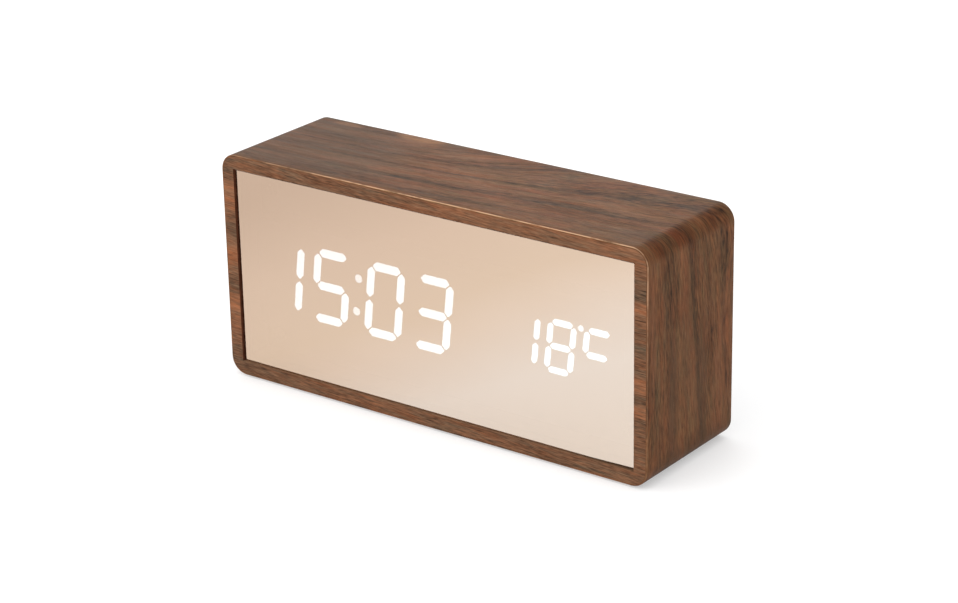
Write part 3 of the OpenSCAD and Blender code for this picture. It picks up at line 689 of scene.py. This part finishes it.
# The darkest colour, for painted shade along the right side's bottom edge
underside_shade = (0.020, 0.012, 0.008)
wrap_patches = [
    ((-58, 0, wrap_high.z), (45, 40, 8), 0.5, dusk),
    ((-20, 19.5, wrap_high.z), (7, 3.5, 5), 0.6, dusk),
    ((-33, 20.5, wrap_high.z), (11, 4.5, 5), 0.9, tan),
    ((-60, 19.5, wrap_high.z), (7, 2, 5), 0.5, tan),
    ((case_half_w, -20.5, 46), (6, 4, 30), 0.4, russet),
    ((case_half_w, -9, 24), (6, 4, 26), 0.5, umber),
    ((case_half_w, -2, 38), (6, 5, 34), 0.35, umber),
    ((case_half_w, 5.5, 22), (6, 5, 28), 0.5, umber),
    ((case_half_w, 17, 24), (6, 6, 30), 0.3, russet),
    # Painted shade: the right side darker towards its bottom edge and the lower bend
    ((case_half_w, 0, -1), (6, 40, 13), 0.75, umber),
    ((case_half_w, 0, 0), (10, 60, 4), 0.9, underside_shade),
    ((66, -16, wrap_high.z), (9, 8, 5), 0.35, dusk),
]
# A veneer's look: its two colours, the strength of its marks, and how its rings darken and grey it
wrap_look = {
    "red": (0.141, 0.0455, 0.0170),
    "grey": (0.100, 0.0570, 0.0250),
    "contrast": 1.0,
    "shade": 1.12,
    "broad": 1.5,
    "ring_depth": 0.62,
    "faintest": 0.5,
    "redness": 0.55,
    "hue": 1.08,
    "ring_grey": 0.2,
}
frame_look = {
    "red": (0.165, 0.057, 0.0235),
    "grey": (0.100, 0.068, 0.042),
    "contrast": 1.1,
    "shade": 1.33,
    "broad": 0.5,
    "ring_depth": 0.9,
    "faintest": 0.75,
    "redness": 0.72,
    "hue": 1.0,
    "ring_grey": 0.5,
}
# Rings of the front's two stiles, by their height from its middle and how dark they are
left_lines = [
    (-36, 0.40), (-29, 0.60), (-21, 0.35), (-13, 0.00), (-10.3, 0.15), (-8.5, 0.65), (-5.5, 0.65),
    (-3, 0.35), (6, 0.05), (8.5, 0.30), (10, 0.60), (13.5, 0.60), (19, 0.10), (25, 0.00), (27, 0.60),
    (30, 0.50), (36, 0.40),
]
right_lines = [
    (-36, 0.45), (-30, 0.40), (-21, 0.50), (-19, 0.70), (-14.5, 0.65), (-12.8, 0.05), (-10.5, 0.10),
    (-9, 0.75), (-7.8, 0.70), (-6, 0.15), (-3, 0.10), (-1, 0.40), (4, 0.50), (5.5, 0.60), (8, 0.45),
    (15.5, 0.40), (17, 0.05), (19.5, 0.10), (20.7, 0.80), (23, 0.75), (24.5, 0.45), (30, 0.30), (36, 0.10),
]
frame_slope = 0.048
stile_rise = frame_slope * (core_high.x + opening_half_w) / 2

build_wrap(walnut("walnut_wrap", 3.1, wrap_look, wrap_place, wrap_rings, wrap_wear_and_shade))
front_walnut = walnut("walnut_front", 8.4, frame_look, frame_place, frame_rings)
# The stained cut edge in two copies: the dark one for upright edges, partly real stain and partly painted
# shade, and the pale one for level edges, painted light
shaded_stain = cut_edge("shaded_stained_edge", (0.055, 0.018, 0.008), (0.110, 0.036, 0.017))
lit_pale_edge = cut_edge("lit_pale_edge", (0.13, 0.065, 0.035), (0.22, 0.115, 0.062))
for veneer in ("front_veneer", "rear_veneer"):
    dress(veneer, front_walnut, shaded_stain, lit_pale_edge)
    pick_faces(veneer, frame_face)
core_board = fibreboard()
dress("top_board", core_board)
dress("bottom_board", core_board)
# The side boards' upright edges take the dark copy: stain with painted shade on the recess's side walls
dress("left_board", shaded_stain)
dress("right_board", shaded_stain)
dress("corner_blocks", pine())
foot_rubber = plastic("foot_rubber", grey(0.014), grey(0.022), roughness=(0.75, 0.9),
                      grain=0.6, depth=0.04, specular=0.2)
dress("rubber_feet", foot_rubber)


# Front panel and figures

def build_panel(face, back, edge):
    """The mirror plate, with eased front edges. Its lower edge runs up a little to the right corner."""
    chamfer = 0.15
    rise = 0.65
    rise_l = 25
    outline = [
        (panel_low.x, panel_low.z),
        (panel_high.x - rise_l, panel_low.z),
        (panel_high.x, panel_low.z + rise),
        (panel_high.x, panel_high.z),
        (panel_low.x, panel_high.z),
    ]
    middle = (panel_low + panel_high) / 2
    shrink_x = 1 - chamfer / (panel_high.x - middle.x)
    shrink_z = 1 - chamfer / (panel_high.z - middle.z)
    eased = []
    for x, z in outline:
        eased.append((middle.x + (x - middle.x) * shrink_x, middle.z + (z - middle.z) * shrink_z))
    bm = bmesh.new()
    rings = []
    for points, y in ((eased, panel_low.y), (outline, panel_low.y + chamfer), (outline, panel_high.y)):
        rings.append([bm.verts.new((x * MM, y * MM, z * MM)) for x, z in points])
    bm.faces.new(rings[0]).material_index = 0
    bm.faces.new(rings[2]).material_index = 1
    for a, b in zip(rings, rings[1:]):
        for i in range(len(outline)):
            j = (i + 1) % len(outline)
            bm.faces.new((a[i], a[j], b[j], b[i])).material_index = 2
    piece = new_piece(mesh_of("panel_plate", bm), [face, back, edge], "clock_case")
    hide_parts("mirror_panel")


# The colon's dots and the degree dot are dimmer than the segments
colon_x = -26.95
colon_half_w = 2.2
degree_x = 51.58
degree_z = 42.27
degree_half_w = 1.1


def on_dot(face):
    """Whether a face belongs to the colon or the degree dot."""
    x = face.center.x / MM
    z = face.center.z / MM
    return abs(x - colon_x) < colon_half_w or math.hypot(x - degree_x, z - degree_z) < degree_half_w


build_panel(copper_mirror(), clear_acrylic("panel_back", 0.02), clear_acrylic("panel_edge", 0.4))
dress("segment_housing", plastic("housing", grey(0.006), grey(0.010)))
dress("lit_segments", lit_diffuser("segment_lit", 3.4), lit_diffuser("dot_lit", 2.6))
pick_faces("lit_segments", lambda face: int(on_dot(face)))
dress("unlit_segments", plastic("segment_unlit", grey(0.010), grey(0.016)))
dress("panel_tape", plastic("tape", grey(0.010), grey(0.016), roughness=(0.8, 0.9)))
led = plastic("led", (0.60, 0.52, 0.20), (0.72, 0.64, 0.30), roughness=(0.2, 0.35), grain=0.4, depth=0.01)
dress("led_chips", led)

# Boards and what they carry
black_board = circuit_board("display_mask", (0.006, 0.007, 0.007), (0.016, 0.017, 0.017))
green_board = circuit_board("circuit_board", (0.010, 0.075, 0.030), (0.035, 0.160, 0.070))
epoxy = plastic("chip", (0.014, 0.014, 0.015), (0.022, 0.022, 0.023), roughness=(0.5, 0.65),
                grain=0.15, depth=0.02)
nylon = plastic("header", (0.55, 0.52, 0.44), (0.64, 0.61, 0.53), roughness=(0.4, 0.5),
                grain=0.5, depth=0.01)
nickel = metal("nickel", (0.56, 0.54, 0.50), (0.70, 0.68, 0.63))
tin = metal("tin", grey(0.62), (0.76, 0.76, 0.75), roughness=(0.3, 0.5))
zinc = metal("steel", (0.50, 0.50, 0.51), (0.62, 0.62, 0.63), roughness=(0.3, 0.45),
             streak=(0.3, 0.3, 0.3))
black_steel = metal("black_steel", (0.014, 0.014, 0.015), (0.030, 0.030, 0.031), roughness=(0.4, 0.55),
                    streak=(0.3, 0.3, 0.3))
switch_black = plastic("switch_plastic", (0.016, 0.016, 0.017), (0.024, 0.024, 0.025))
ivory = plastic("plunger", (0.62, 0.58, 0.46), (0.70, 0.66, 0.54), roughness=(0.35, 0.45),
                grain=0.3, depth=0.01)
grey_ribbon = ribbon()
buzzer_black = plastic("buzzer", grey(0.012), grey(0.018), roughness=(0.35, 0.45))
lead_red = plastic("lead_red", (0.42, 0.018, 0.014), (0.50, 0.030, 0.022), roughness=(0.35, 0.5),
                   grain=0.6, depth=0.02)
lead_black = plastic("lead_black", grey(0.012), grey(0.020), roughness=(0.35, 0.5), grain=0.6, depth=0.02)
finishes = {
    "display_board": black_board,
    "display_screws": black_steel,
    "display_header": nylon,
    "main_header": nylon,
    "ribbon_cable": grey_ribbon,
    "main_board": green_board,
    "board_screws": zinc,
    "cover_screws": black_steel,
    "crystal_can": nickel,
    "buzzer": buzzer_black,
    "temperature_sensor": epoxy,
    "usb_shell": nickel,
    "usb_tongue": switch_black,
    "switch_bodies": switch_black,
    "set_plunger": ivory,
    "up_plunger": ivory,
    "down_plunger": ivory,
    "battery_springs": nickel,
    "contact_plates": nickel,
    "positive_lead": lead_red,
    "negative_lead": lead_black,
}
for node, finish in finishes.items():
    dress(node, finish)


def dress_chip(node):
    """A chip in epoxy, with tinned legs that stand out past its body at its two long edges."""
    leg_l = 1.0
    spare = 0.01
    dress(node, epoxy, tin)
    low, high = mm_box(node)
    body_half = (high.z - low.z) / 2 - leg_l
    middle_z = mm_middle(node).z
    pick_faces(node, lambda face: int(abs(face.center.z / MM - middle_z) > body_half + spare))


dress_chip("display_driver")
dress_chip("controller_chip")
# The can's bare aluminium end, and the microphone's felt face
sleeve = plastic("capacitor_sleeve", (0.012, 0.016, 0.060), (0.018, 0.024, 0.085), roughness=(0.3, 0.4),
                 grain=0.8, depth=0.01)
dress("capacitor", sleeve, tin)
pick_faces("capacitor", lambda face: int(face.normal.y < -square_on))
felt = plastic("felt", grey(0.010), grey(0.022), roughness=(0.9, 1.0), grain=0.15, depth=0.1, specular=0.1)
dress("microphone", nickel, felt)
pick_faces("microphone", lambda face: int(face.normal.y > square_on))


# Back cover and its buttons

def build_button(name, body, material):
    """A push button: a cap with a rounded rim and a shallow dish, a flange behind the cover, and a stem."""
    cap_r = 3.3
    stem_r = 1.5
    rim_r = 0.4
    dish_radii = (2.5, 1.9, 1.2, 0.6, 0)
    dish_d = 0.18
    flange_t = 1.0
    stem_l = 2.0
    smooth_angle = 40
    low, high = mm_box(name)
    centre = mm_middle(name)
    centre.y = 0
    flange_r = (high.x - low.x) / 2
    flange_front = low.y + stem_l
    flange_back = flange_front + flange_t
    rim = arc(high.y - rim_r, cap_r - rim_r, rim_r, 90, 0)
    dish = [(high.y - dish_d * (1 - (r / dish_radii[0]) ** 2), r, 0) for r in dish_radii]
    profile = [
        (low.y, 0, 0),
        (low.y, stem_r, 0),
        (flange_front, stem_r, 0),
        (flange_front, flange_r, 0),
        (flange_back, flange_r, 0),
        (flange_back, cap_r, 0),
        *rim,
        *dish,
    ]
    bm = bmesh.new()
    lathe(bm, profile, centre, Y, X)
    piece = new_piece(mesh_of(name + "_cap", bm, smooth_angle), [material], body)
    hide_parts(name)


cover_black = plastic("cover_plastic", (0.011, 0.011, 0.012), (0.017, 0.017, 0.018))
dress("rear_cover", cover_black)
dress("battery_door", cover_black)
button_black = plastic("button_plastic", (0.024, 0.024, 0.025), (0.032, 0.032, 0.033),
                       roughness=(0.25, 0.33), grain=0.4, depth=0.01)
for key in ("set", "up", "down"):
    build_button(key + "_button", key + "_key", button_black)

# Cells: bare ends, a printed film with a coloured band at the positive end, and generic marks
cell_low, cell_high = mm_box("battery_cells")
cell_r = (cell_high.y - cell_low.y) / 2
cell_y = (cell_high.y + cell_low.y) / 2
cell_l = 44.5
# Each cell's positive end, the way along X that this end points, and the cell's height
cells = [
    (cell_high.x, 1, cell_low.z + cell_r),
    (cell_low.x, -1, (cell_low.z + cell_high.z) / 2),
    (cell_high.x, 1, cell_high.z - cell_r),
]


def build_cells(materials):
    """The cells. Their materials are for the bare ends, the band, the film and the seal, in that order."""
    bare = 0
    band = 1
    film = 2
    seal = 3
    nub_r = 1.9
    nub_h = 0.8
    nub_round = 0.3
    seal_h = 0.25
    seal_w = 0.5
    film_r = 0.7
    film_lip = 0.4
    band_l = 9.0
    end_d = 0.3
    end_slope = 0.2
    smooth_angle = 35
    nub_flat_r = nub_r - nub_round
    film_flat_r = cell_r - film_r
    profile = [
        (0.0, 0, bare),
        (0.0, nub_flat_r, bare),
        *arc(nub_round, nub_flat_r, nub_round, 150, 90, bare, 2),
        (nub_h, nub_r, seal),
        (nub_h + seal_h, nub_r + seal_w, seal),
        (nub_h + seal_h, film_flat_r - film_lip, band),
        *arc(nub_h + film_r, film_flat_r, film_r, 180, 90, band),
        (band_l, cell_r, film),
        *arc(cell_l - film_r, film_flat_r, film_r, 90, 0, film),
        (cell_l, film_flat_r - film_lip, bare),
        (cell_l - end_d, film_flat_r - film_lip - end_slope, bare),
        (cell_l - end_d, 0, bare),
    ]
    bm = bmesh.new()
    for terminal_x, way, z in cells:
        lathe(bm, profile, Vector((terminal_x, cell_y, z)), X * -way, Z)
    piece = new_piece(mesh_of("cells", bm, smooth_angle), materials, "clock_case")
    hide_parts("battery_cells")


silver_film = cell_jacket("cell_jacket", (0.50, 0.52, 0.54), (0.60, 0.62, 0.64))
blue_band = cell_jacket("cell_band", (0.020, 0.085, 0.200), (0.030, 0.110, 0.250))
grey_seal = plastic("cell_seal", (0.30, 0.30, 0.29), (0.38, 0.38, 0.37), roughness=(0.5, 0.6),
                    grain=0.5, depth=0.01)
build_cells([nickel, blue_band, silver_film, grey_seal])


# Words and signs, read from behind

# Thickness of printed ink, and of the marks raised on the door
ink_t = 0.06
raised_t = 0.2


def from_behind(x, y, z):
    """Turns a flat drawing to face the back, with its middle at a place in millimetres."""
    turn = Matrix(((-1, 0, 0), (0, 0, 1), (0, 1, 0))).to_4x4()
    return Matrix.Translation(Vector((x, y, z)) * MM) @ turn


def fill_thin_faces(bm):
    """Turns the longest edge of each face of no area, so that the face takes a part of its neighbour."""
    no_area = 1e-6 * MM ** 2
    for _ in range(len(bm.faces)):
        thin = [face for face in bm.faces if face.calc_area() < no_area]
        if not thin:
            return
        longest = max(thin[0].edges, key=lambda edge: edge.calc_length())
        bmesh.ops.rotate_edges(bm, edges=[longest])


def text_mesh(name, words, size, relief=ink_t):
    """A line of text as a closed mesh with its middle at the origin."""
    letter_spacing = 1.08
    weld = 0.001
    curve = bpy.data.curves.new(name, "FONT")
    curve.body = words
    curve.size = size * MM
    curve.extrude = relief / 2 * MM
    curve.space_character = letter_spacing
    curve.align_x = "CENTER"
    curve.align_y = "CENTER"
    holder = bpy.data.objects.new(name, curve)
    bpy.context.scene.collection.objects.link(holder)
    ready = holder.evaluated_get(bpy.context.evaluated_depsgraph_get())
    bm = bmesh.new()
    bm.from_mesh(ready.to_mesh())
    bmesh.ops.remove_doubles(bm, verts=bm.verts, dist=weld * MM)
    fill_thin_faces(bm)
    bpy.data.objects.remove(holder)
    return mesh_of(name, bm)


def arrow_mesh(name, way, size, relief=ink_t):
    """A triangle that points up or down, as a closed slab."""
    foot_share = 0.8
    foot = -foot_share * size * way
    points = [(-size, foot), (size, foot), (0, size * way)]
    bm = bmesh.new()
    sides = []
    for height in (-relief / 2, relief / 2):
        sides.append([bm.verts.new((x * MM, y * MM, height * MM)) for x, y in points])
    bm.faces.new(sides[0][::-1])
    bm.faces.new(sides[1])
    for i in range(len(points)):
        j = (i + 1) % len(points)
        bm.faces.new((sides[0][i], sides[0][j], sides[1][j], sides[1][i]))
    return mesh_of(name, bm)


def mark(mesh, x, z, relief=ink_t, body="clock_case"):
    """A white mark on the back, that stands out by its relief."""
    mesh.transform(from_behind(x, cover_back + relief / 2, z))
    new_piece(mesh, [ink], body)


ink = plastic("print", (0.62, 0.62, 0.61), (0.72, 0.72, 0.71), roughness=(0.55, 0.7),
              grain=0.3, depth=0.01, specular=0.3)
# Heights of letters and half widths of arrows, and how far the marks lie below what they name
label_size = 2.6
socket_label_size = 2.4
door_word_size = 3.0
key_arrow_size = 1.1
door_arrow_size = 1.5
key_drop = 6.6
socket_drop = 4.6
battery_drop = 4.2
door_word_drop = 6.0
door_arrow_drop = 10.5

set_key = mm_middle("set_button")
mark(text_mesh("set_word", "SET", label_size), set_key.x, set_key.z - key_drop)
for key, way in (("up", 1), ("down", -1)):
    place = mm_middle(key + "_button")
    mark(arrow_mesh(key + "_arrow", way, key_arrow_size), place.x, place.z - key_drop)
socket = mm_middle("usb_shell")
mark(text_mesh("socket_word", "DC 5V", socket_label_size), socket.x, socket.z - socket_drop)
door = mm_middle("battery_door")
door_low, _ = mm_box("battery_door")
mark(text_mesh("battery_word", "3 x AAA 1.5V", label_size), door.x, door_low.z - battery_drop)
door_word = text_mesh("door_word", "OPEN", door_word_size, raised_t)
mark(door_word, door.x, door.z - door_word_drop, raised_t, "door")
door_arrow = arrow_mesh("door_arrow", -1, door_arrow_size, raised_t)
mark(door_arrow, door.x, door.z - door_arrow_drop, raised_t, "door")


def wrap_on_cell(mesh, z, lift):
    """Bends a flat word about a cell's axis, so that its middle lies that far above the film."""
    cuts = 10
    bm = bmesh.new()
    bm.from_mesh(mesh)
    for i in range(1, cuts):
        level = (z - cell_r + 2 * cell_r * i / cuts) * MM
        whole = [*bm.verts, *bm.edges, *bm.faces]
        bmesh.ops.bisect_plane(bm, geom=whole, plane_co=(0, 0, level), plane_no=Z)
    for v in bm.verts:
        turn = (v.co.z / MM - z) / cell_r
        r = cell_r + lift + v.co.y / MM
        v.co.y = (cell_y + r * math.cos(turn)) * MM
        v.co.z = (z + r * math.sin(turn)) * MM
    bm.to_mesh(mesh)
    bm.free()


film_ink = plastic("film_print", (0.020, 0.085, 0.200), (0.030, 0.100, 0.230), roughness=(0.4, 0.5),
                   grain=0.3, depth=0.01)
film_ink_lift = 0.02
# A cell's marks: name, text, place from the positive end, height and ink
cell_marks = [
    ("size", "AAA 1.5V", 24.0, 3.2, film_ink),
    ("plus", "+", 5.0, 4.0, ink),
    ("minus", "-", 40.5, 4.0, film_ink),
]
for number, (terminal_x, way, z) in enumerate(cells, 1):
    for word, text, from_terminal, size, colour in cell_marks:
        mesh = text_mesh(f"cell_{number}_{word}", text, size)
        mesh.transform(from_behind(terminal_x - way * from_terminal, 0, z))
        wrap_on_cell(mesh, z, film_ink_lift)
        new_piece(mesh, [colour], "clock_case")

# The socket's five contacts, on the lower face of its tongue
gold = metal("contact_gold", (0.75, 0.55, 0.22), (0.85, 0.65, 0.30), roughness=(0.2, 0.3),
             streak=(0.2, 2.0, 0.2))
_, tongue_high = mm_box("usb_tongue")
tongue_t = 0.6
contact_pitch = 0.65
contact_w = 0.35
contact_t = 0.05
contact_l = 3.0
contact_inset = 0.3
contact_y = tongue_high.y - contact_l / 2 - contact_inset
contact_z = socket.z - tongue_t / 2 - contact_t / 2
contact_size = Matrix.Diagonal((contact_w * MM, contact_l * MM, contact_t * MM, 1))
bm = bmesh.new()
for i in range(-2, 3):
    place = Vector((socket.x + i * contact_pitch, contact_y, contact_z))
    bmesh.ops.create_cube(bm, size=1, matrix=Matrix.Translation(place * MM) @ contact_size)
new_piece(mesh_of("socket_contacts", bm), [gold], "clock_case")

# Stage, in metres
floor_half = 4.0
bm = bmesh.new()
bmesh.ops.create_grid(bm, x_segments=1, y_segments=1, size=floor_half)
floor_mesh = bpy.data.meshes.new("floor")
bm.to_mesh(floor_mesh)
bm.free()
floor = bpy.data.objects.new("floor", floor_mesh)
bpy.context.scene.collection.objects.link(floor)
floor_mesh.materials.append(floor_paint())

world = bpy.data.worlds.new("studio")
bpy.context.scene.world = world
world.use_nodes = True
sky = world.node_tree.nodes["Background"]
sky.inputs["Color"].default_value = (*grey(1), 1)
sky.inputs["Strength"].default_value = 0.95


def softbox(name, place, look_at, size, power):
    """A square area light in metres and watts, turned to a point."""
    light = bpy.data.lights.new(name, "AREA")
    light.size = size
    light.energy = power
    lamp = bpy.data.objects.new(name, light)
    lamp.location = place
    lamp.rotation_euler = (Vector(look_at) - Vector(place)).to_track_quat("-Z", "Y").to_euler()
    bpy.context.scene.collection.objects.link(lamp)


case_middle = (0, 0, case_mid_z * MM)
softbox("key", (-0.9, -1.7, 0.7), case_middle, 2.0, 31)
softbox("top", (0.1, 0.1, 1.8), case_middle, 1.5, 5)
softbox("back", (-1.2, 1.65, 0.85), case_middle, 1.2, 6)

# Camera, as the photograph was taken, in millimetres again
view_azimuth = math.radians(36.751)
view_elevation = math.radians(21.517)
view_distance = 791.905
view_target = Vector((2.452, 0, 33.026))
view_roll = -0.0191
lens = 102.59
camera_data = bpy.data.cameras.new("camera")
camera_data.sensor_width = 36
camera_data.lens = lens
camera_data.clip_start = 0.01
camera = bpy.data.objects.new("camera", camera_data)
bpy.context.scene.collection.objects.link(camera)
out = Vector((
    math.sin(view_azimuth) * math.cos(view_elevation),
    -math.cos(view_azimuth) * math.cos(view_elevation),
    math.sin(view_elevation),
))
camera.location = (view_target + view_distance * out) * MM
camera.rotation_euler = (-out).to_track_quat("-Z", "Y").to_euler()
camera.rotation_euler.rotate_axis("Z", view_roll)
bpy.context.scene.camera = camera
bpy.context.scene.view_settings.view_transform = "Standard"
